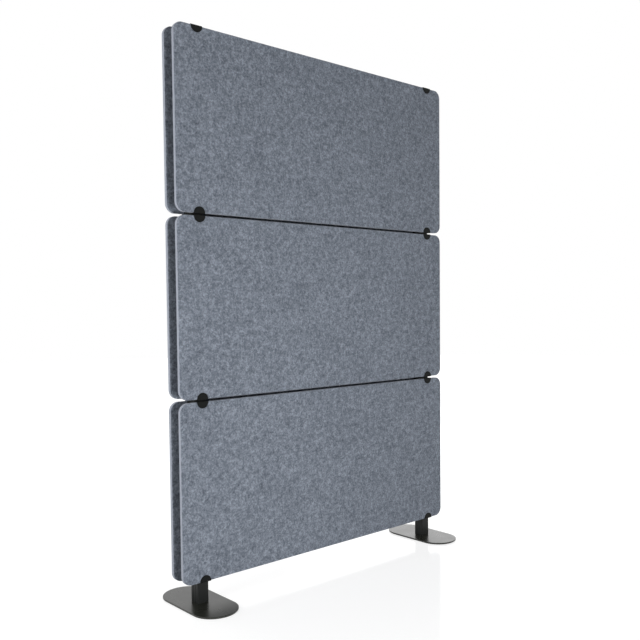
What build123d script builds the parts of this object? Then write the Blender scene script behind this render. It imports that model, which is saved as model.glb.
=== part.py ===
from build123d import *
from math import cos, pi
import os

# Acoustic divider screen: three rows of felt boards, front and rear, on two posts with flat feet.
# All sizes are in mm. X runs along the screen, Y through it, Z up; the floor is at Z = 0.

# Driving dimensions: the felt boards and how they stack
panel_width = 1220.0
panel_thickness = 12.0
panel_corner_radius = 30.0
row_names = ("bottom", "middle", "top")
row_gap = 9.0
screen_height = 1800.0
floor_clearance = 78.0

# Driving dimensions: the posts, which are hollow extrusions with fluted sides
post_width = 40.0
post_depth = 40.0
post_wall = 2.5
post_corner_radius = 3.0
post_inset = 80.0
flute_count = 2
flute_pitch = 12.5
flute_radius = 4.0
flute_depth = 1.2
port_wall = 1.9

# Driving dimensions: the bent sheet clips that hold the boards to the posts
clip_sheet = 2.0
clip_radius = 20.0
clip_bend_radius = 2.5
clip_leg_length = 34.0
clip_leg_corner = 6.0
clip_screw_drop = 20.0

# Driving dimensions: countersunk screws. They are small and many, so screws and holes are eight-sided
screw_sides = 8
screw_clearance = 0.1
screw_head_rim = 0.3
clip_screw_radius = 2.0
clip_screw_length = 10.0
base_screw_radius = 3.0
base_screw_head_height = 3.0
base_screw_length = 26.0

# Driving dimensions: top caps and feet
cap_thickness = 2.0
cap_plug_length = 12.0
cap_clearance = 0.3
base_length = 313.0
base_width = 151.0
base_thickness = 5.0
base_edge_break = 0.6
pad_thickness = 1.5
pad_inset = 2.0

# One overrun for every cut
overrun = 5.0

# Sizes that follow
rows = len(row_names)
panel_height = (screen_height - clip_sheet - floor_clearance - (rows - 1) * row_gap) / rows
panel_offset = post_depth / 2 + clip_sheet + panel_thickness / 2
stack_top = screen_height - clip_sheet
post_foot = pad_thickness + base_thickness
post_length = stack_top - cap_thickness - post_foot
post_centres = {"left": post_inset - panel_width / 2, "right": panel_width / 2 - post_inset}
faces = {"front": -1, "rear": 1}
hollow_width = post_width - 2 * (post_wall + flute_depth)
hollow_depth = post_depth - 2 * post_wall
port_radius = base_screw_radius + screw_clearance
port_x = hollow_width / 2 - port_radius
port_y = hollow_depth / 2 - port_radius


def row_bottom(row):
    """Height of the lower edge of a row of boards above the floor."""
    return floor_clearance + row * (panel_height + row_gap)


def clip_places():
    """Yield the name, face sign, height and edge sign of each board edge that clips hold."""
    for row, row_name in enumerate(row_names):
        for face, face_sign in faces.items():
            yield f"{row_name}_{face}_lower", face_sign, row_bottom(row), -1
            yield f"{row_name}_{face}_upper", face_sign, row_bottom(row) + panel_height, 1


def port_centres():
    """The four screw ports in the corners of the post's hollow."""
    return [Pos(sx * port_x, sy * port_y) for sx in (-1, 1) for sy in (-1, 1)]


def make_panel():
    """Felt board: a rounded rectangle cut square from sheet."""
    outline = RectangleRounded(panel_width, panel_height, panel_corner_radius)
    return extrude(Plane.XZ * outline, panel_thickness / 2, both=True)


def hollow_outline():
    """Inside of the post: a rectangle that gives way to the wall of each screw port."""
    outline = Rectangle(hollow_width, hollow_depth)
    for place in port_centres():
        outline -= place * Circle(port_radius + port_wall)
    return outline


def post_profile():
    """Section of the extrusion: rounded tube, fluted sides, hollow core and screw ports."""
    profile = RectangleRounded(post_width, post_depth, post_corner_radius) - hollow_outline()
    flute_x = post_width / 2 + flute_radius - flute_depth
    for side in (-1, 1):
        for place in GridLocations(0, flute_pitch, 1, flute_count):
            profile -= Pos(side * flute_x, 0) * place * Circle(flute_radius)
    for place in port_centres():
        profile -= place * RegularPolygon(port_radius, screw_sides)
    return profile


def make_post():
    """Post with a screw hole through its wall behind every clip."""
    post = Pos(0, 0, post_foot) * extrude(post_profile(), post_length)
    hole = RegularPolygon(clip_screw_radius + screw_clearance, screw_sides)
    drill = extrude(Plane.XZ * hole, post_wall / 2 + overrun, both=True)
    for _, face_sign, edge_z, edge_sign in clip_places():
        hole_z = edge_z - edge_sign * clip_screw_drop
        post -= Pos(0, face_sign * (post_depth - post_wall) / 2, hole_z) * drill
    return post


def make_cap():
    """Cap for the post's upper end, with a plug that fits between the screw ports."""
    lid = extrude(RectangleRounded(post_width, post_depth, post_corner_radius), cap_thickness)
    plug_width = 2 * (port_x - port_radius - port_wall - cap_clearance)
    plug = extrude(Rectangle(plug_width, hollow_depth - 2 * cap_clearance), -cap_plug_length)
    return Pos(0, 0, stack_top - cap_thickness) * (lid + plug)


def make_clip():
    """Clip for an upper edge, seen with the board's edge at Z = 0 and its middle at Y = 0.

    The strap goes over the edge. Its outer flange is a half disc, and its inner leg lies
    against the post and takes a countersunk screw.
    """
    reach = panel_thickness / 2 + clip_sheet
    section = Rectangle(2 * reach, clip_leg_length + clip_sheet)
    section = fillet(section.vertices().group_by(Axis.Y)[-1], clip_bend_radius)
    section = Pos(0, (clip_sheet - clip_leg_length) / 2) * section
    mouth_depth = clip_leg_length + overrun
    section -= Pos(0, -mouth_depth / 2) * Rectangle(panel_thickness, mouth_depth)
    strap = extrude(Plane.YZ * section, clip_radius, both=True)

    tab = Pos(0, clip_sheet / 2) * Rectangle(2 * clip_radius, clip_sheet)
    half_disc = Circle(clip_radius) - Pos(0, clip_radius) * Rectangle(2 * clip_radius, 2 * clip_radius)
    leg = Pos(0, -clip_leg_length / 2) * Rectangle(2 * clip_radius, clip_leg_length)
    leg = chamfer(leg.vertices().group_by(Axis.Y)[0], clip_leg_corner)
    trim = extrude(Plane.XZ * (half_disc + tab), reach) + extrude(Plane.XZ * (leg + tab), -reach)
    return (strap & trim) - clip_screw(screw_clearance)


def countersunk_screw(shank_radius, head_height, length, slack):
    """Screw along -Z from its flat head at Z = 0, or with slack the hole that it fits."""
    radius = shank_radius + slack
    cone_height = head_height - screw_head_rim
    head_radius = radius + cone_height / cos(pi / screw_sides)
    head = extrude(RegularPolygon(head_radius, screw_sides), -head_height)
    head = chamfer(head.faces().sort_by(Axis.Z)[0].edges(), cone_height)
    return head + extrude(RegularPolygon(radius, screw_sides), -length)


def clip_screw(slack):
    """Screw through the clip's leg, its head flush with the side that faces the board."""
    screw = countersunk_screw(clip_screw_radius, clip_sheet, clip_screw_length, slack)
    return Pos(0, panel_thickness / 2, -clip_screw_drop) * Rot(90, 0, 0) * screw


def base_screw(slack):
    """Screw up through the foot into a port of the post, its head flush below the plate."""
    screw = countersunk_screw(base_screw_radius, base_screw_head_height, base_screw_length, slack)
    return Pos(0, 0, pad_thickness) * Rot(180, 0, 0) * screw


def make_base_plate():
    """Flat foot with fully round ends, countersunk from below for the post's screws."""
    plate = extrude(SlotOverall(base_length, base_width, rotation=90), base_thickness)
    plate = chamfer(plate.faces().sort_by(Axis.Z)[-1].edges(), base_edge_break)
    plate = Pos(0, 0, pad_thickness) * plate
    for place in port_centres():
        plate -= place * base_screw(screw_clearance)
    return plate


def make_base_pad():
    """Thin underlay between the foot and the floor, set in from the plate's rim."""
    pad_length = base_length - 2 * pad_inset
    pad_width = base_width - 2 * pad_inset
    return extrude(SlotOverall(pad_length, pad_width, rotation=90), pad_thickness)


def place_at_edge(piece, face_sign, edge_z, edge_sign):
    """Move a piece made for an upper front edge to one edge of one board of a post."""
    turn = Rot(0, 0, 0 if face_sign < 0 else 180) * Rot(0, 0 if edge_sign > 0 else 180, 0)
    return Pos(0, face_sign * panel_offset, edge_z) * turn * piece


def at_both_posts(piece):
    """A piece and its copy, one at each post."""
    return [Pos(x, 0, 0) * piece for x in post_centres.values()]


def make_nodes():
    """All pieces of the screen, by node name. A list holds the separate solids of one node."""
    nodes = {}
    panel, clip, screw = make_panel(), make_clip(), clip_screw(0)
    for row, row_name in enumerate(row_names):
        for face, face_sign in faces.items():
            middle_z = row_bottom(row) + panel_height / 2
            nodes[f"panel_{row_name}_{face}"] = Pos(0, face_sign * panel_offset, middle_z) * panel
    for name, *where in clip_places():
        nodes[f"clips_{name}"] = at_both_posts(place_at_edge(clip, *where))

    post, cap, plate, pad = make_post(), make_cap(), make_base_plate(), make_base_pad()
    for side, x in post_centres.items():
        at_post = Pos(x, 0, 0)
        nodes[f"post_{side}"] = at_post * post
        nodes[f"post_cap_{side}"] = at_post * cap
        nodes[f"base_plate_{side}"] = at_post * plate
        nodes[f"base_pad_{side}"] = at_post * pad
        nodes[f"base_screws_{side}"] = [at_post * place * base_screw(0) for place in port_centres()]
        clip_screws = [place_at_edge(screw, *where) for _, *where in clip_places()]
        nodes[f"clip_screws_{side}"] = [at_post * screw_in_place for screw_in_place in clip_screws]
    return nodes


os.makedirs("parts", exist_ok=True)
for name, shape in make_nodes().items():
    export_step(Compound(children=shape) if isinstance(shape, list) else shape, f"parts/{name}.step")
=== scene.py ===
"""Acoustic divider screen: felt boards in three rows, on two black posts with flat feet.

Bent sheet clips grip each board at its lower and upper edge and are screwed to the posts.
All lengths are in metres. X runs along the screen, Y through it and Z up.
"""

import logging
from collections.abc import Callable, Iterable, Iterator
from dataclasses import dataclass, field, replace
from enum import Enum
from functools import partial, reduce
from math import asin, cos, hypot, pi, radians, sin, tau

import bmesh
import bpy
from mathutils import Matrix, Vector


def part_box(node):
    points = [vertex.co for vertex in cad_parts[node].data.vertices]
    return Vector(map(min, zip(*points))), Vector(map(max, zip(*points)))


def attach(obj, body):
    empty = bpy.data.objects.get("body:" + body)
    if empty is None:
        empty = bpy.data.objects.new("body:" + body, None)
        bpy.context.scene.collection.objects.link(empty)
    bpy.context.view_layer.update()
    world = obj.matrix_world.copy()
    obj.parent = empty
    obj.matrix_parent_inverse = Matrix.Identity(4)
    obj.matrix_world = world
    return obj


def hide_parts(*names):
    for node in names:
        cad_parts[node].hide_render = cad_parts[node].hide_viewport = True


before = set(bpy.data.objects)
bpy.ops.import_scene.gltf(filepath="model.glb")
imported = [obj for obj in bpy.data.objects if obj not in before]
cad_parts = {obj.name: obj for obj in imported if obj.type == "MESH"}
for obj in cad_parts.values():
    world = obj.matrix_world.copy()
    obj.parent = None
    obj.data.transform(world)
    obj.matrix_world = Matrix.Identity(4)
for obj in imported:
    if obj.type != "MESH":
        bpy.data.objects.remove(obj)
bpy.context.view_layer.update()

log = logging.getLogger("divider_screen")

Number = float | int
Triple = tuple[float, float, float]
Colour = Triple
Outline = list[Vector]

WHITE: Colour = (1.0, 1.0, 1.0)
NOISE_MIDDLE = 0.5
SAME_POINT = 1e-7
MATRIX_ROWS = 4
# Sockets of a Mix node that mixes colours
MIX_SHARE, MIX_FIRST, MIX_SECOND, MIX_RESULT = 0, 6, 7, 2


class Row(Enum):
    """The rows of boards, from the floor up."""

    BOTTOM = "bottom"
    MIDDLE = "middle"
    TOP = "top"


class Face(Enum):
    """The two faces of the screen."""

    FRONT = "front"
    REAR = "rear"


class Edge(Enum):
    """The two edges of a board that clips hold."""

    LOWER = "lower"
    UPPER = "upper"


class Side(Enum):
    """The two ends of the screen."""

    LEFT = "left"
    RIGHT = "right"


class Slot(Enum):
    """The record's material slots."""

    FELT = "felt"
    CLIP_COAT = "powder_coat_clip"
    BASE_COAT = "powder_coat_base"
    CAP_PLASTIC = "cap_plastic"
    PAD_RUBBER = "pad_rubber"
    SCREW_STEEL = "screw_steel"


class Wire:
    """A shader socket that takes part in Python arithmetic."""

    def __init__(self, tree: bpy.types.NodeTree, socket: bpy.types.NodeSocket) -> None:
        """Hold a socket of a node tree."""
        self.tree = tree
        self.socket = socket

    def _math(self, operation: str, *values: "Wire | Number", clamp: bool = False) -> "Wire":
        """Add one Math node.

        Args:
            operation: Name of the node's operation.
            values: Its inputs, in order.
            clamp: Whether the result is held between 0 and 1.

        Returns:
            The node's result.
        """
        node = self.tree.nodes.new("ShaderNodeMath")
        node.operation = operation
        node.use_clamp = clamp
        for place, value in enumerate(values):
            if isinstance(value, Wire):
                self.tree.links.new(value.socket, node.inputs[place])
            else:
                node.inputs[place].default_value = value
        return Wire(self.tree, node.outputs[0])

    def __add__(self, other: "Wire | Number") -> "Wire":
        """Sum."""
        return self._math("ADD", self, other)

    def __sub__(self, other: "Wire | Number") -> "Wire":
        """Difference."""
        return self._math("SUBTRACT", self, other)

    def __rsub__(self, other: Number) -> "Wire":
        """Difference from a number."""
        return self._math("SUBTRACT", other, self)

    def __mul__(self, other: "Wire | Number") -> "Wire":
        """Product."""
        return self._math("MULTIPLY", self, other)

    __radd__ = __add__
    __rmul__ = __mul__

    def above(self, level: Number, softness: Number) -> "Wire":
        """A mask that rises from 0 at a level to 1 at that level plus the softness."""
        return self._math("MULTIPLY", self - level, 1 / softness, clamp=True)

    def greater(self, other: "Wire") -> "Wire":
        """The larger of two values."""
        return self._math("MAXIMUM", self, other)


@dataclass(frozen=True)
class Grain:
    """One layer of soft noise: the length of its largest features, and how strongly it counts."""

    length: float
    share: float = 1.0
    detail: float = 2.0
    roughness: float = 0.5


class Shader:
    """The node tree of one material or of the world."""

    def __init__(self, owner: bpy.types.Material | bpy.types.World) -> None:
        """Start an empty tree on its owner.

        Args:
            owner: The material or the world.
        """
        self.owner = owner
        owner.use_nodes = True
        self.tree = owner.node_tree
        self.tree.nodes.clear()

    @classmethod
    def material(cls, name: str) -> "Shader":
        """Start a new material of that name."""
        return cls(bpy.data.materials.new(name))

    def node(self, kind: str, settings: dict | None = None, inputs: dict | None = None) -> bpy.types.Node:
        """Add one node.

        Args:
            kind: The node's type.
            settings: Its properties, set first; stops holds a ramp's places and colours.
            inputs: Values or wires of its sockets, by name or number.

        Returns:
            The node.
        """
        node = self.tree.nodes.new(kind)
        for key, value in (settings or {}).items():
            if key == "stops":
                self._set_stops(node.color_ramp, value)
            else:
                setattr(node, key, value)
        for key, value in (inputs or {}).items():
            if isinstance(value, Wire):
                self.tree.links.new(value.socket, node.inputs[key])
            else:
                node.inputs[key].default_value = value
        return node

    def wire(self, kind: str, settings: dict | None = None, inputs: dict | None = None,
             output: int | str = 0) -> Wire:
        """Add one node and take one of its outputs.

        Args:
            kind: The node's type.
            settings: Its properties.
            inputs: Values or wires of its sockets.
            output: The output's name or number.

        Returns:
            The output.
        """
        return Wire(self.tree, self.node(kind, settings, inputs).outputs[output])

    @staticmethod
    def _set_stops(ramp: bpy.types.ColorRamp, stops: list[tuple[float, Colour]]) -> None:
        """Give a ramp its stops.

        Args:
            ramp: The ramp.
            stops: The place and colour of each stop.
        """
        while len(ramp.elements) < len(stops):
            ramp.elements.new(1.0)
        for element, (place, colour) in zip(ramp.elements, stops):
            element.position = place
            element.color = (*colour, 1.0)

    def seen(self) -> Wire:
        """1 for rays that look, straight, mirrored or through glass, and 0 for rays that light."""
        rays = ("Is Camera Ray", "Is Glossy Ray", "Is Transmission Ray")
        return reduce(Wire.greater, (self.wire("ShaderNodeLightPath", output=ray) for ray in rays))

    def place(self) -> Wire:
        """Where a point of the surface lies."""
        return self.wire("ShaderNodeTexCoord", output="Object")

    def turned(self, vector: Wire, turn: Triple, lengths: Triple) -> Wire:
        """Turn a vector and measure it in new units.

        Args:
            vector: The vector.
            turn: Angles about X, Y and Z, in radians.
            lengths: The unit along each axis.

        Returns:
            The new vector.
        """
        inputs = {"Vector": vector, "Rotation": turn}
        back = self.wire("ShaderNodeVectorRotate", {"rotation_type": "EULER_XYZ"}, inputs)
        scale = tuple(1 / length for length in lengths)
        return self.wire("ShaderNodeVectorMath", {"operation": "MULTIPLY"}, {0: back, 1: scale})

    def curled(self, vector: Wire, curl: Grain) -> Wire:
        """Push a vector about by noise, so that straight marks wander.

        Args:
            vector: The vector.
            curl: Length over which it wanders; its share is how far.

        Returns:
            The new vector.
        """
        inputs = {"Vector": vector, "Scale": 1 / curl.length, "Detail": curl.detail}
        push = self.wire("ShaderNodeTexNoise", None, inputs, output="Color")
        inputs = {0: push, 1: (curl.share,) * 3, 2: vector}
        return self.wire("ShaderNodeVectorMath", {"operation": "MULTIPLY_ADD"}, inputs)

    def noise(self, vector: Wire, grain: Grain) -> Wire:
        """Soft noise.

        Args:
            vector: Where it is read.
            grain: Its length, detail and roughness.

        Returns:
            Values on both sides of the noise's middle.
        """
        inputs = {
            "Vector": vector,
            "Scale": 1 / grain.length,
            "Detail": grain.detail,
            "Roughness": grain.roughness,
        }
        return self.wire("ShaderNodeTexNoise", None, inputs)

    def swing(self, vector: Wire, grain: Grain) -> Wire:
        """Soft noise about zero, as strong as its share."""
        return (self.noise(vector, grain) - NOISE_MIDDLE) * grain.share

    def mix(self, share: Wire, first: Colour, second: Colour) -> Wire:
        """Mix two colours.

        Args:
            share: How much of the second colour shows.
            first: A colour.
            second: A colour.

        Returns:
            The mixed colour.
        """
        inputs = {MIX_SHARE: share, MIX_FIRST: (*first, 1.0), MIX_SECOND: (*second, 1.0)}
        return self.wire("ShaderNodeMix", {"data_type": "RGBA"}, inputs, output=MIX_RESULT)

    def ramp(self, tone: Wire, *colours: Colour) -> Wire:
        """Turn a tone from 0 to 1 into a colour, through evenly spaced ones."""
        stops = [(step / (len(colours) - 1), colour) for step, colour in enumerate(colours)]
        return self.wire("ShaderNodeValToRGB", {"stops": stops}, {"Fac": tone})

    def bump(self, height: Wire, depth: float, strength: float = 1.0) -> Wire:
        """A normal that follows a height of that depth."""
        inputs = {"Height": height, "Distance": depth, "Strength": strength}
        return self.wire("ShaderNodeBump", None, inputs)

    def surface(self, inputs: dict) -> bpy.types.Material:
        """Close the tree with a Principled shader that has these inputs."""
        return self.close(self.wire("ShaderNodeBsdfPrincipled", None, inputs))

    def close(self, shader: Wire) -> bpy.types.Material | bpy.types.World:
        """Join a shader to the output.

        Args:
            shader: The finished shader.

        Returns:
            The owner of the tree.
        """
        kind = "World" if isinstance(self.owner, bpy.types.World) else "Material"
        self.node(f"ShaderNodeOutput{kind}", None, {"Surface": shader})
        return self.owner


def scaled(colour: Colour, factor: float) -> Colour:
    """A colour made paler or darker."""
    return tuple(channel * factor for channel in colour)


@dataclass(frozen=True)
class FeltFinish:
    """Face of pressed felt: dark and pale fibres matted together, mottled where they clump."""

    name: str = "felt_face"
    shade: Colour = (0.052, 0.062, 0.081)
    body: Colour = (0.152, 0.174, 0.211)
    pale: Colour = (0.305, 0.338, 0.395)
    cloud: Grain = Grain(0.060, 0.26, detail=1.0)
    blotch: Grain = Grain(0.0176, 0.80, detail=1.0)
    clump: Grain = Grain(0.0066, 1.10)
    fleck: Grain = Grain(0.0026, 0.40, detail=1.0)
    curl: Grain = Grain(0.010, 0.006)
    fibre_length: float = 0.0090
    fibre_width: float = 0.00075
    fibre_turns: tuple[float, ...] = (0.2, 1.25, 2.3)
    fibre_middle: float = 0.58
    fibre_share: float = 1.8
    fibre_relief: float = 0.6
    relief: float = 0.00035
    bump_strength: float = 0.7
    roughness: float = 0.95
    specular: float = 0.15
    sheen: float = 0.12
    sheen_roughness: float = 0.6

    def fibres(self, shader: Shader, place: Wire) -> Wire:
        """Thin curling streaks in several directions of the face.

        Args:
            shader: The material's tree.
            place: Where the fibres are read.

        Returns:
            High values on the fibres that lie uppermost.
        """
        wandering = shader.curled(place, self.curl)
        lengths = (self.fibre_length, self.fibre_width, self.fibre_width)
        streak = Grain(1.0, detail=1.0)
        turned = (shader.turned(wandering, (0, turn, 0), lengths) for turn in self.fibre_turns)
        return reduce(Wire.greater, (shader.noise(vector, streak) for vector in turned))

    def build(self) -> bpy.types.Material:
        """Make the material.

        Returns:
            The material.
        """
        shader = Shader.material(self.name)
        place = shader.place()
        clump = shader.noise(place, self.clump)
        fibre = self.fibres(shader, place)
        tone = (clump - NOISE_MIDDLE) * self.clump.share + (fibre - self.fibre_middle) * self.fibre_share
        for layer in (self.cloud, self.blotch, self.fleck):
            tone = tone + shader.swing(place, layer)
        height = fibre * self.fibre_relief + clump * (1 - self.fibre_relief)
        return shader.surface({
            "Base Color": shader.ramp(tone + NOISE_MIDDLE, self.shade, self.body, self.pale),
            "Normal": shader.bump(height, self.relief, self.bump_strength),
            "Roughness": self.roughness,
            "Specular IOR Level": self.specular,
            "Sheen Weight": self.sheen,
            "Sheen Roughness": self.sheen_roughness,
        })


@dataclass(frozen=True)
class CutEdgeFinish:
    """Sawn edge of a felt board: fibre ends in thin layers, paler than the face, partly as cut felt is and
    partly as painted light for the light that falls on the board ends from the left.
    """

    name: str = "felt_cut_edge_partly_painted_light"
    # These three colours are paler than cut felt alone: part of their paleness is painted light, the
    # brightness that light from the left gives the board ends.
    shade: Colour = (0.180, 0.198, 0.234)
    body: Colour = (0.325, 0.352, 0.412)
    pale: Colour = (0.470, 0.502, 0.575)
    layer_length: float = 0.030
    layer_height: float = 0.0007
    layer_share: float = 0.9
    tuft: Grain = Grain(0.0012, 0.9)
    relief: float = 0.0004
    bump_strength: float = 0.8
    roughness: float = 0.95
    specular: float = 0.1
    sheen: float = 0.15
    sheen_roughness: float = 0.6

    def build(self) -> bpy.types.Material:
        """Make the material.

        Returns:
            The material.
        """
        shader = Shader.material(self.name)
        place = shader.place()
        lengths = (self.layer_length, self.layer_height, self.layer_length)
        layers = shader.noise(shader.turned(place, (0, 0, 0), lengths), Grain(1.0))
        tufts = shader.noise(place, self.tuft)
        tone = (layers - NOISE_MIDDLE) * self.layer_share + (tufts - NOISE_MIDDLE) * self.tuft.share
        return shader.surface({
            "Base Color": shader.ramp(tone + NOISE_MIDDLE, self.shade, self.body, self.pale),
            "Normal": shader.bump(layers + tufts, self.relief, self.bump_strength),
            "Roughness": self.roughness,
            "Specular IOR Level": self.specular,
            "Sheen Weight": self.sheen,
            "Sheen Roughness": self.sheen_roughness,
        })


@dataclass(frozen=True)
class PowderCoat:
    """Black powder coat on metal, with a fine grain and a slight orange peel."""

    name: str
    colour: Colour = (0.0062, 0.0069, 0.0067)
    roughness: float = 0.45
    specular: float = 0.09
    speck_level: float = 0.4
    speck_softness: float = 0.3
    speck_paleness: float = 1.6
    grain: Grain = Grain(0.0006, 0.06)
    peel: Grain = Grain(0.0022, detail=1.0)
    wear: Grain = Grain(0.050, 0.10)
    grain_relief: float = 0.35
    relief: float = 0.00004

    def build(self) -> bpy.types.Material:
        """Make the material.

        Returns:
            The material.
        """
        shader = Shader.material(self.name)
        place = shader.place()
        grain, peel = shader.noise(place, self.grain), shader.noise(place, self.peel)
        specks = grain.above(self.speck_level, self.speck_softness)
        uneven = shader.swing(place, self.wear) + (grain - NOISE_MIDDLE) * self.grain.share
        height = grain * self.grain_relief + peel * (1 - self.grain_relief)
        return shader.surface({
            "Base Color": shader.mix(specks, self.colour, scaled(self.colour, self.speck_paleness)),
            "Roughness": uneven + self.roughness,
            "Normal": shader.bump(height, self.relief),
            "Specular IOR Level": self.specular,
        })


@dataclass(frozen=True)
class MouldedPlastic:
    """Black moulded plastic with a fine spark-eroded grain."""

    name: str = "cap_plastic"
    colour: Colour = (0.011, 0.011, 0.011)
    paleness: float = 1.6
    grain: Grain = Grain(0.0004, 0.2, detail=1.0)
    flow: Grain = Grain(0.012)
    relief: float = 0.00003
    roughness: float = 0.5
    specular: float = 0.3

    def build(self) -> bpy.types.Material:
        """Make the material.

        Returns:
            The material.
        """
        shader = Shader.material(self.name)
        place = shader.place()
        grain = shader.noise(place, self.grain)
        flow = shader.noise(place, self.flow)
        return shader.surface({
            "Base Color": shader.mix(flow, self.colour, scaled(self.colour, self.paleness)),
            "Roughness": (grain - NOISE_MIDDLE) * self.grain.share + self.roughness,
            "Normal": shader.bump(grain, self.relief),
            "Specular IOR Level": self.specular,
        })


@dataclass(frozen=True)
class UnderlayRubber:
    """Black non-slip underlay with a pebbled skin."""

    name: str = "underlay_rubber"
    colour: Colour = (0.020, 0.020, 0.020)
    paleness: float = 2.0
    pebble: float = 0.0011
    dust: Grain = Grain(0.010, 0.2, detail=3.0)
    relief: float = 0.00012
    bump_strength: float = 0.6
    roughness: float = 0.8
    specular: float = 0.2

    def build(self) -> bpy.types.Material:
        """Make the material.

        Returns:
            The material.
        """
        shader = Shader.material(self.name)
        place = shader.place()
        pebbles = shader.wire("ShaderNodeTexVoronoi", None, {"Vector": place, "Scale": 1 / self.pebble})
        dust = shader.noise(place, self.dust)
        return shader.surface({
            "Base Color": shader.mix(dust, self.colour, scaled(self.colour, self.paleness)),
            "Roughness": (dust - NOISE_MIDDLE) * self.dust.share + self.roughness,
            "Normal": shader.bump(1 - pebbles, self.relief, self.bump_strength),
            "Specular IOR Level": self.specular,
        })


@dataclass(frozen=True)
class ZincSteel:
    """Zinc-plated steel, with the fine turned lines of a screw and a faint yellow bloom."""

    name: str = "screw_zinc"
    colour: Colour = (0.46, 0.46, 0.47)
    bloom_colour: Colour = (0.43, 0.42, 0.38)
    bloom: Grain = Grain(0.004)
    bloom_level: float = 0.35
    bloom_softness: float = 0.4
    line: Grain = Grain(0.0003, 0.2)
    relief: float = 0.00001
    roughness: float = 0.3

    def build(self) -> bpy.types.Material:
        """Make the material.

        Returns:
            The material.
        """
        shader = Shader.material(self.name)
        place = shader.place()
        lines = shader.noise(place, self.line)
        bloom = shader.noise(place, self.bloom).above(self.bloom_level, self.bloom_softness)
        return shader.surface({
            "Base Color": shader.mix(bloom, self.colour, self.bloom_colour),
            "Metallic": 1.0,
            "Roughness": (lines - NOISE_MIDDLE) * self.line.share + self.roughness,
            "Normal": shader.bump(lines, self.relief),
        })


def rounded_outline(width: float, height: float, corner: float, steps: int) -> list[tuple[float, float]]:
    """Points of a rounded rectangle about the origin, anticlockwise.

    Args:
        width: Full width.
        height: Full height.
        corner: Radius of the corners.
        steps: Straight pieces in each quarter turn.

    Returns:
        The points, with none twice.
    """
    points: list[tuple[float, float]] = []
    for quarter, (sx, sy) in enumerate(((1, 1), (-1, 1), (-1, -1), (1, -1))):
        for step in range(steps + 1):
            angle = (quarter + step / steps) * pi / 2
            x = sx * (width / 2 - corner) + corner * cos(angle)
            y = sy * (height / 2 - corner) + corner * sin(angle)
            if not points or hypot(x - points[-1][0], y - points[-1][1]) > SAME_POINT:
                points.append((x, y))
    if hypot(points[0][0] - points[-1][0], points[0][1] - points[-1][1]) < SAME_POINT:
        points.pop()
    return points


def round_ring(radius: float | Callable[[float], float], z: float, sides: int) -> Outline:
    """A ring of points about Z.

    Args:
        radius: Its radius, or a function that gives the radius at each angle.
        z: Its height.
        sides: Number of points.

    Returns:
        The points.
    """
    reach = radius if callable(radius) else lambda angle: radius
    angles = (side / sides * tau for side in range(sides))
    return [Vector((reach(angle) * cos(angle), reach(angle) * sin(angle), z)) for angle in angles]


@dataclass(frozen=True)
class Slab:
    """Flat piece with a rounded outline and softened rims. It lies in XY, its middle at the origin."""

    width: float
    height: float
    corner: float
    thickness: float
    rim: float
    corner_steps: int = 16
    rim_steps: int = 4
    margin: float = 0.002

    def rings(self) -> list[Outline]:
        """Rings of points from one face, round the rim, to the other face.

        Returns:
            The rings, in order.
        """
        levels = [(self.rim + self.margin, -self.thickness / 2)]
        for sign in (-1, 1):
            for step in range(self.rim_steps + 1)[::-sign]:
                angle = step / self.rim_steps * pi / 2
                inset = self.rim * (1 - sin(angle))
                levels.append((inset, sign * (self.thickness / 2 - self.rim * (1 - cos(angle)))))
        levels.append((self.rim + self.margin, self.thickness / 2))
        return [self.ring(inset, z) for inset, z in levels]

    def ring(self, inset: float, z: float) -> Outline:
        """The outline at a height, as far inside the full one as the inset says."""
        size = (self.width - 2 * inset, self.height - 2 * inset, self.corner - inset)
        return [Vector((x, y, z)) for x, y in rounded_outline(*size, self.corner_steps)]

    @property
    def side_band(self) -> int:
        """The band between two rings that is the cut side."""
        return self.rim_steps + 1


def skin(rings: list[Outline], side_band: int | None = None) -> bpy.types.Mesh:
    """Join rings of points into one closed mesh.

    Args:
        rings: Rings with the same number of points, in order.
        side_band: Band between two rings that takes the second material.

    Returns:
        The mesh.
    """
    made = bmesh.new()
    loops = [[made.verts.new(point) for point in ring] for ring in rings]
    for band, (low, high) in enumerate(zip(loops, loops[1:])):
        for here, point in enumerate(low):
            face = made.faces.new((low[here - 1], point, high[here], high[here - 1]))
            face.material_index = int(band == side_band)
    made.faces.new(loops[0])
    made.faces.new(loops[-1])
    return to_mesh(made)


def to_mesh(made: bmesh.types.BMesh) -> bpy.types.Mesh:
    """Turn a bmesh into a mesh, with its faces turned outwards.

    Args:
        made: The bmesh, which is used up.

    Returns:
        The mesh.
    """
    bmesh.ops.remove_doubles(made, verts=made.verts, dist=SAME_POINT)
    bmesh.ops.recalc_face_normals(made, faces=made.faces)
    mesh = bpy.data.meshes.new("piece")
    made.to_mesh(mesh)
    made.free()
    return mesh


def smooth(mesh: bpy.types.Mesh, crease: float = 38.0) -> bpy.types.Mesh:
    """Shade a mesh smooth, apart from its creases.

    Args:
        mesh: The mesh.
        crease: Edges that turn by more than this many degrees stay sharp.

    Returns:
        The same mesh.
    """
    mesh.shade_smooth()
    mesh.set_sharp_from_angle(angle=radians(crease))
    return mesh


def worked(mesh: bpy.types.Mesh, kind: str, settings: dict) -> bpy.types.Mesh:
    """Run one modifier on a mesh and keep the result.

    Args:
        mesh: The mesh to start from.
        kind: The modifier's type.
        settings: Its properties.

    Returns:
        A new mesh with the modifier applied.
    """
    bench = bpy.data.objects.new("bench", mesh)
    bpy.context.scene.collection.objects.link(bench)
    modifier = bench.modifiers.new("work", kind)
    for key, value in settings.items():
        setattr(modifier, key, value)
    evaluated = bench.evaluated_get(bpy.context.evaluated_depsgraph_get())
    result = bpy.data.meshes.new_from_object(evaluated)
    bpy.data.objects.remove(bench)
    return result


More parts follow.
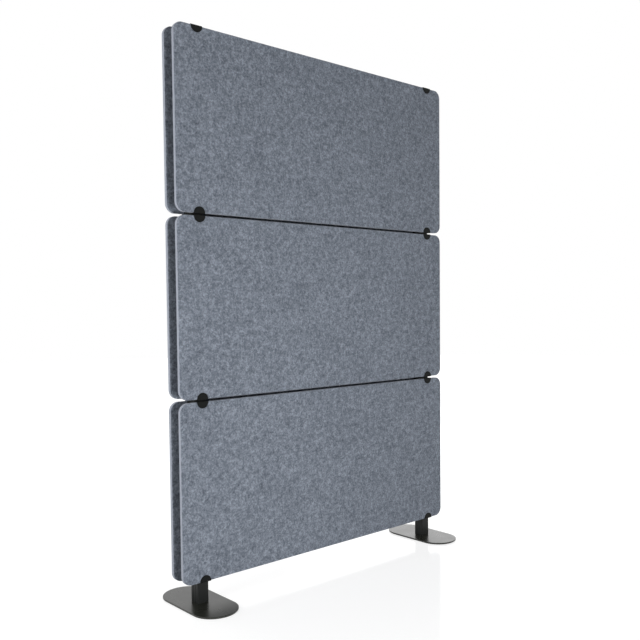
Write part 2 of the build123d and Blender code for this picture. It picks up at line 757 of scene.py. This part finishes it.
def drilled(mesh: bpy.types.Mesh, drill: bpy.types.Mesh) -> bpy.types.Mesh:
    """Cut a drill's shape out of a mesh.

    Args:
        mesh: The mesh that is cut.
        drill: The shape that is taken away.

    Returns:
        The cut mesh.
    """
    tool = bpy.data.objects.new("drill", drill)
    bpy.context.scene.collection.objects.link(tool)
    result = worked(mesh, "BOOLEAN", {"object": tool, "operation": "DIFFERENCE", "solver": "EXACT"})
    bpy.data.objects.remove(tool)
    return result


def joined(mesh: bpy.types.Mesh, places: Iterable[Matrix]) -> bpy.types.Mesh:
    """Put a copy of a mesh at each place.

    Args:
        mesh: The mesh.
        places: Where its copies go.

    Returns:
        All copies in one new mesh.
    """
    made = bmesh.new()
    for place in places:
        copy = mesh.copy()
        copy.transform(place)
        made.from_mesh(copy)
        bpy.data.meshes.remove(copy)
    result = bpy.data.meshes.new("set")
    made.to_mesh(result)
    made.free()
    return result


def box_size(node: str) -> Vector:
    """Full size of a node's box."""
    low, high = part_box(node)
    return high - low


def box_middle(node: str) -> Vector:
    """Middle of a node's box."""
    low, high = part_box(node)
    return (low + high) / 2


def about(axis: str, angle: float) -> Matrix:
    """A turn about an axis through the origin, by an angle in radians."""
    return Matrix.Rotation(angle, MATRIX_ROWS, axis)


class SubAssembly:
    """A group of pieces that are built and dressed together."""

    body = "root"

    def keep(self, name: str, mesh: bpy.types.Mesh, finishes: list[bpy.types.Material], slot: Slot,
             node: str) -> None:
        """Make a piece of the object.

        Args:
            name: The piece's name.
            mesh: Its shape, in place.
            finishes: Its materials.
            slot: The record's material slot; not used.
            node: The node that it stands for.
        """
        mesh.name = name
        for finish in finishes:
            mesh.materials.append(finish)
        piece = bpy.data.objects.new(name, smooth(mesh))
        bpy.context.scene.collection.objects.link(piece)
        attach(piece, self.body)
        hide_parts(node)
        log.info("%s: %d faces, for %s", name, len(mesh.polygons), node)


@dataclass
class FeltBoards(SubAssembly):
    """The six felt boards, cut from sheet with round corners and slightly softened rims."""

    face: bpy.types.Material
    # The cut edge's material carries painted light: it is paler than cut felt alone, standing in for light
    # on the board ends.
    cut_edge: bpy.types.Material
    corner: float = 0.030
    rim: float = 0.0006

    def build(self) -> None:
        """Make a board for each row and face."""
        for row in Row:
            for face in Face:
                self.board(f"panel_{row.value}_{face.value}", f"felt_board_{row.value}_{face.value}")

    def board(self, node: str, name: str) -> None:
        """Make one board.

        Args:
            node: The node that gives its size and place.
            name: The piece's name.
        """
        size = box_size(node)
        slab = Slab(size.x, size.z, self.corner, size.y, self.rim)
        mesh = skin(slab.rings(), slab.side_band)
        mesh.transform(Matrix.Translation(box_middle(node)) @ about("X", pi / 2))
        self.keep(name, mesh, [self.face, self.cut_edge], Slot.FELT, node)


@dataclass(frozen=True)
class Screw:
    """Countersunk screw with a hexagon socket. Its flat head is at Z = 0 and its shank points down."""

    shank: float
    head: float
    head_height: float
    length: float
    pitch: float
    socket: float
    socket_depth: float
    rim: float = 0.0003
    rim_break: float = 0.0001
    thread_depth: float = 0.55
    tip: float = 0.0006
    tip_share: float = 0.6
    sides: int = 20
    socket_sides: int = 6
    rows_per_turn: int = 5

    def thread_radius(self, z: float, angle: float) -> float:
        """Radius of the thread at a height and an angle."""
        phase = (z / self.pitch + angle / tau) % 1.0
        return self.shank - self.thread_depth * self.pitch * abs(2 * phase - 1)

    def thread(self) -> Iterator[Outline]:
        """Rings of the threaded shank, whose radius winds round it.

        Returns:
            The rings, from the head to the tip.
        """
        start = -self.head_height - self.pitch
        turns = (self.length + start - self.tip) / self.pitch
        for row in range(int(turns * self.rows_per_turn) + 1):
            z = start - row * self.pitch / self.rows_per_turn
            yield round_ring(partial(self.thread_radius, z), z, self.sides)

    def mesh(self) -> bpy.types.Mesh:
        """The whole screw.

        Returns:
            The screw, with its socket cut.
        """
        head = (
            (self.head - self.rim_break, 0.0),
            (self.head, -self.rim_break),
            (self.head, -self.rim),
            (self.shank, -self.head_height),
        )
        rings = [round_ring(radius, z, self.sides) for radius, z in head]
        rings += self.thread()
        rings.append(round_ring(self.shank * self.tip_share, -self.length, self.sides))
        ends = (-self.socket_depth, self.socket_depth)
        key = skin([round_ring(self.socket, z, self.socket_sides) for z in ends])
        return drilled(skin(rings), key)

    def hole(self, slack: float = 0.0001, beyond: float = 0.004) -> bpy.types.Mesh:
        """The countersunk hole for the screw.

        Args:
            slack: Clearance round it.
            beyond: How far the hole runs past both ends of the head.

        Returns:
            The shape to cut.
        """
        levels = (
            (self.head + slack, beyond),
            (self.head + slack, -self.rim),
            (self.shank + slack, -self.head_height),
            (self.shank + slack, -self.head_height - beyond),
        )
        return skin([round_ring(radius, z, self.sides) for radius, z in levels])


@dataclass
class Clip:
    """Bent sheet clip: a half disc on the board's face, a strap over its edge and a screwed leg behind."""

    board: float
    sheet: float = 0.002
    radius: float = 0.020
    outer_bend: float = 0.0025
    leg: float = 0.034
    leg_corner: float = 0.006
    rim: float = 0.00022
    rim_angle: float = 50.0
    rim_segments: int = 2
    columns: int = 24
    flange_steps: int = 4
    bend_steps: int = 4
    bend: float = field(init=False)
    turn_height: float = field(init=False)
    arc: float = field(init=False)
    strap: float = field(init=False)
    flat_leg: float = field(init=False)

    def __post_init__(self) -> None:
        """Work out the lengths of the flat sheet."""
        self.bend = self.outer_bend - self.sheet / 2
        self.turn_height = self.sheet - self.outer_bend
        self.arc = self.bend * pi / 2
        self.strap = self.board + 2 * (self.sheet - self.outer_bend)
        self.flat_leg = self.leg + self.turn_height

    def folded(self, run: float) -> tuple[float, float]:
        """Fold a length of the flat sheet.

        Args:
            run: Length along the sheet from the level where the flange begins to bend.

        Returns:
            Y and Z of that point of the sheet's middle.
        """
        front, rear, height = -self.strap / 2, self.strap / 2, self.turn_height
        if run <= 0:
            return front - self.bend, height + run
        if run <= self.arc:
            angle = run / self.bend
            return front - self.bend * cos(angle), height + self.bend * sin(angle)
        run -= self.arc
        if run <= self.strap:
            return front + run, height + self.bend
        run -= self.strap
        if run <= self.arc:
            angle = run / self.bend
            return rear + self.bend * sin(angle), height + self.bend * cos(angle)
        return rear + self.bend, height - (run - self.arc)

    def rows(self) -> list[list[tuple[float, float]]]:
        """The flat sheet as rows of points.

        Returns:
            Rows of points, each a place across the sheet and a length along it.
        """
        first = asin(-self.turn_height / self.radius)
        turns = (first + step / self.columns * (pi - 2 * first) for step in range(self.columns + 1))
        rim = [(-self.radius * cos(turn), -self.radius * sin(turn) - self.turn_height) for turn in turns]
        across = [x for x, _ in rim]
        shares = (1 - step / self.flange_steps for step in range(self.flange_steps + 1))
        rows = [[(x, run * share) for x, run in rim] for share in shares]
        bends = [self.arc * step / self.bend_steps for step in range(self.bend_steps + 1)]
        second = self.arc + self.strap
        third = second + self.arc + self.flat_leg
        stops = bends[1:] + [second + stop for stop in bends] + [third - self.leg_corner]
        rows += [[(x, stop) for x in across] for stop in stops]
        tip = 1 - self.leg_corner / self.radius
        rows.append([(x * tip, third) for x in across])
        return rows

    def mesh(self, hole: bpy.types.Mesh) -> bpy.types.Mesh:
        """The clip for an upper front edge, seen with the board's edge at Z = 0 and its middle at Y = 0.

        Args:
            hole: Shape of the screw hole, in place.

        Returns:
            The clip.
        """
        made = bmesh.new()
        grid = [[made.verts.new((x, *self.folded(run))) for x, run in row] for row in self.rows()]
        for low, high in zip(grid, grid[1:]):
            for here in range(self.columns):
                made.faces.new((low[here], low[here + 1], high[here + 1], high[here]))
        thickness = {"thickness": self.sheet, "offset": 0.0, "use_even_offset": True}
        thick = worked(to_mesh(made), "SOLIDIFY", thickness)
        softened = {
            "width": self.rim,
            "segments": self.rim_segments,
            "limit_method": "ANGLE",
            "angle_limit": radians(self.rim_angle),
        }
        return worked(drilled(thick, hole), "BEVEL", softened)


@dataclass
class Fixings(SubAssembly):
    """The clips on every board edge at both posts, and the screws through their legs."""

    coat: bpy.types.Material
    steel: bpy.types.Material
    screw: Screw = Screw(
        shank=0.002, head=0.0037, head_height=0.002, length=0.010,
        pitch=0.0007, socket=0.0011, socket_depth=0.0012,
    )
    screw_drop: float = 0.020

    def build(self) -> None:
        """Make the clips and their screws."""
        board = box_size("panel_top_front").y
        on_leg = Matrix.Translation((0, board / 2, -self.screw_drop)) @ about("X", pi / 2)
        clip_mesh = Clip(board).mesh(joined(self.screw.hole(), [on_leg]))
        screw_mesh = joined(self.screw.mesh(), [on_leg])
        for side in Side:
            places = {
                f"{row.value}_{face.value}_{edge.value}": self.place(row, face, edge, side)
                for row in Row for face in Face for edge in Edge
            }
            for where, place in places.items():
                mesh = joined(clip_mesh, [place])
                self.keep(f"clip_{where}_{side.value}", mesh, [self.coat], Slot.CLIP_COAT, f"clips_{where}")
            mesh = joined(screw_mesh, places.values())
            node = f"clip_screws_{side.value}"
            self.keep(f"clip_screw_set_{side.value}", mesh, [self.steel], Slot.SCREW_STEEL, node)

    @staticmethod
    def place(row: Row, face: Face, edge: Edge, side: Side) -> Matrix:
        """Where a clip goes.

        Args:
            row: Row of the board.
            face: Face of the screen.
            edge: Edge of the board.
            side: Post that carries the clip.

        Returns:
            The move from the clip's own frame.
        """
        low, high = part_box(f"panel_{row.value}_{face.value}")
        height = low.z if edge is Edge.LOWER else high.z
        x = box_middle(f"post_{side.value}").x
        turn = about("Z", 0 if face is Face.FRONT else pi) @ about("Y", 0 if edge is Edge.UPPER else pi)
        return Matrix.Translation((x, (low.y + high.y) / 2, height)) @ turn


@dataclass
class Posts(SubAssembly):
    """The two fluted posts, as extruded, and the moulded caps in their upper ends."""

    coat: bpy.types.Material
    plastic: bpy.types.Material
    corner: float = 0.003
    lid: float = 0.002
    lid_rim: float = 0.0006
    plug_width: float = 0.0158
    plug_depth: float = 0.0344
    plug_corner: float = 0.001
    plug_taper: float = 0.001
    corner_steps: int = 6

    def build(self) -> None:
        """Dress the posts and make the caps."""
        for side in Side:
            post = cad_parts[f"post_{side.value}"]
            post.data.materials.clear()
            post.data.materials.append(self.coat)
            smooth(post.data)
            log.info("%s: carried over", post.name)
            self.cap(side)

    def cap(self, side: Side) -> None:
        """Make one cap: a lid with softened rims and a plug below it.

        Args:
            side: Post that it closes.
        """
        node = f"post_cap_{side.value}"
        size = box_size(node)
        lid = Slab(size.x, size.y, self.corner, self.lid, self.lid_rim, self.corner_steps)
        plug = replace(lid, width=self.plug_width, height=self.plug_depth, corner=self.plug_corner)
        under_lid = size.z / 2 - self.lid
        levels = ((self.plug_taper / 2, -size.z / 2), (0.0, self.plug_taper - size.z / 2), (0.0, under_lid))
        rings = [plug.ring(inset, z) for inset, z in levels]
        lift = Vector((0, 0, under_lid + self.lid / 2))
        rings += [[point + lift for point in ring] for ring in lid.rings()]
        mesh = skin(rings)
        mesh.transform(Matrix.Translation(box_middle(node)))
        self.keep(f"cap_{side.value}", mesh, [self.plastic], Slot.CAP_PLASTIC, node)


@dataclass
class Feet(SubAssembly):
    """The two flat feet: a steel plate with round ends, its underlay and its screws."""

    coat: bpy.types.Material
    rubber: bpy.types.Material
    steel: bpy.types.Material
    plate_rim: float = 0.0007
    underlay_rim: float = 0.0003
    end_steps: int = 32
    port_x: float = 0.0132
    port_y: float = 0.0144
    screw: Screw = Screw(
        shank=0.003, head=0.0057, head_height=0.003, length=0.026,
        pitch=0.001, socket=0.0022, socket_depth=0.0022,
    )

    def build(self) -> None:
        """Make both feet."""
        for side in Side:
            node = f"base_plate_{side.value}"
            plate = drilled(self.stadium(node, self.plate_rim), joined(self.screw.hole(), self.ports(side)))
            self.keep(f"foot_plate_{side.value}", plate, [self.coat], Slot.BASE_COAT, node)
            node = f"base_pad_{side.value}"
            underlay = self.stadium(node, self.underlay_rim)
            self.keep(f"foot_underlay_{side.value}", underlay, [self.rubber], Slot.PAD_RUBBER, node)
            node = f"base_screws_{side.value}"
            screws = joined(self.screw.mesh(), self.ports(side))
            self.keep(f"foot_screws_{side.value}", screws, [self.steel], Slot.SCREW_STEEL, node)

    def stadium(self, node: str, rim: float) -> bpy.types.Mesh:
        """A flat piece with fully round ends.

        Args:
            node: The node that gives its size and place.
            rim: How far its rims are softened.

        Returns:
            The piece.
        """
        size = box_size(node)
        mesh = skin(Slab(size.x, size.y, size.x / 2, size.z, rim, self.end_steps).rings())
        mesh.transform(Matrix.Translation(box_middle(node)))
        return mesh

    def ports(self, side: Side) -> list[Matrix]:
        """Where the screws of one foot go: heads down, flush with the plate's lower face.

        Args:
            side: Post that stands on the foot.

        Returns:
            The move of each screw from its own frame.
        """
        middle, low = box_middle(f"post_{side.value}"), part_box(f"base_plate_{side.value}")[0]
        turn = about("X", pi)
        return [
            Matrix.Translation((middle.x + sx * self.port_x, middle.y + sy * self.port_y, low.z)) @ turn
            for sx in (-1, 1) for sy in (-1, 1)
        ]


@dataclass(frozen=True)
class Lamp:
    """A soft rectangular lamp that the camera doesn't see. Coats and floor mirror it only if it says so."""

    name: str
    place: Triple
    aim: Triple
    width: float
    height: float
    share: float
    mirrored: bool = False

    def build(self) -> None:
        """Hang the lamp. Its share is the light on its aim, where 1 shows a colour as it is written."""
        reach = Vector(self.aim) - Vector(self.place)
        data = bpy.data.lights.new(self.name, "AREA")
        data.shape = "RECTANGLE"
        data.size, data.size_y = self.width, self.height
        data.energy = self.share * pi * pi * reach.length_squared
        lamp = bpy.data.objects.new(self.name, data)
        lamp.location = self.place
        lamp.rotation_mode = "QUATERNION"
        lamp.rotation_quaternion = reach.to_track_quat("-Z", "Y")
        lamp.visible_camera = False
        lamp.visible_glossy = self.mirrored
        bpy.context.scene.collection.objects.link(lamp)
        log.info("%s", self.name)


@dataclass
class Studio:
    """White surroundings, a pale floor, soft lamps and the camera at the photograph's place."""

    lamps: tuple[Lamp, ...] = (
        Lamp("key_lamp", (-0.62, -2.5, 0.30), (-0.4, 0.0, 0.6), width=0.8, height=0.5, share=0.60),
        Lamp("side_lamp", (-3.2, -0.70, 1.1), (-0.6, 0.0, 1.0), width=1.2, height=1.4, share=0.70),
        Lamp("rear_fill_lamp", (-0.9, 3.0, 1.2), (0.0, 0.0, 0.9), width=1.6, height=1.6, share=0.35),
        Lamp("rear_card", (1.07, 2.54, 1.13), (-0.53, 0.0, 0.0), width=2.4, height=2.0,
             share=0.035, mirrored=True),
        Lamp("rear_right_card", (3.4, 2.54, 1.13), (0.53, 0.0, 0.0), width=2.4, height=2.0,
             share=0.11, mirrored=True),
    )
    ambient: float = 0.46
    floor_colour: float = 0.4
    floor_lift: float = 0.695
    floor_roughness: float = 0.10
    floor_specular: float = 0.06
    floor_reach: float = 12.0
    floor_steps: int = 16
    camera_place: Triple = (-1.8595, -2.1141, 0.9413)
    camera_yaw: float = 42.738
    camera_pitch: float = -2.596
    camera_roll: float = -0.505
    camera_range: float = 100.0
    focal_pixels: float = 783.86
    centre_pixels: tuple[float, float] = (341.82, 341.18)
    picture: int = 640
    sensor: float = 36.0

    def build(self) -> None:
        """Set up everything round the object."""
        scene = bpy.context.scene
        scene.view_settings.view_transform = "Standard"
        scene.world = self.world()
        self.floor()
        for lamp in self.lamps:
            lamp.build()
        scene.camera = self.camera()

    def world(self) -> bpy.types.World:
        """White where it is seen, and softer as a light.

        Returns:
            The world.
        """
        shader = Shader(bpy.data.worlds.new("studio"))
        strength = self.ambient + shader.seen() * (1 - self.ambient)
        inputs = {"Color": (*WHITE, 1.0), "Strength": strength}
        return shader.close(shader.wire("ShaderNodeBackground", None, inputs))

    def floor(self) -> None:
        """A pale floor that keeps the object's shadow and a faint mirror image."""
        shader = Shader.material("floor_pale")
        material = shader.surface({
            "Base Color": (*scaled(WHITE, self.floor_colour), 1.0),
            "Roughness": self.floor_roughness,
            "Specular IOR Level": self.floor_specular,
            "Emission Color": shader.seen() * self.floor_lift,
            "Emission Strength": 1.0,
        })
        width = 2 * self.floor_reach
        made = bmesh.new()
        outline = rounded_outline(width, width, self.floor_reach, self.floor_steps)
        made.faces.new([made.verts.new((x, y, 0.0)) for x, y in outline])
        mesh = to_mesh(made)
        mesh.materials.append(material)
        floor = bpy.data.objects.new("floor", mesh)
        bpy.context.scene.collection.objects.link(floor)
        log.info("floor")

    def camera(self) -> bpy.types.Object:
        """Stand a camera where the photograph was taken from.

        Returns:
            The camera.
        """
        data = bpy.data.cameras.new("camera")
        data.sensor_width = self.sensor
        data.lens = self.focal_pixels / self.picture * self.sensor
        data.shift_x = (self.picture / 2 - self.centre_pixels[0]) / self.picture
        data.shift_y = (self.centre_pixels[1] - self.picture / 2) / self.picture
        data.clip_end = self.camera_range
        turn = about("Z", -radians(self.camera_yaw))
        turn = turn @ about("X", pi / 2 + radians(self.camera_pitch))
        turn = turn @ about("Z", radians(self.camera_roll))
        camera = bpy.data.objects.new("camera", data)
        camera.matrix_world = Matrix.Translation(self.camera_place) @ turn
        bpy.context.scene.collection.objects.link(camera)
        log.info("camera")
        return camera


def main() -> None:
    """Build the screen, piece by piece, and the studio round it."""
    logging.basicConfig(level=logging.INFO, format="%(name)s: %(message)s")
    steel = ZincSteel().build()
    FeltBoards(FeltFinish().build(), CutEdgeFinish().build()).build()
    Fixings(PowderCoat("clip_coat").build(), steel).build()
    post_coat = PowderCoat("post_coat", colour=(0.0105, 0.0115, 0.0110), roughness=0.40, specular=0.20)
    Posts(post_coat.build(), MouldedPlastic().build()).build()
    base_coat = PowderCoat("base_coat", colour=(0.0105, 0.0112, 0.0085), roughness=0.29, specular=0.5)
    Feet(base_coat.build(), UnderlayRubber().build(), steel).build()
    Studio().build()


if __name__ == "__main__":
    main()
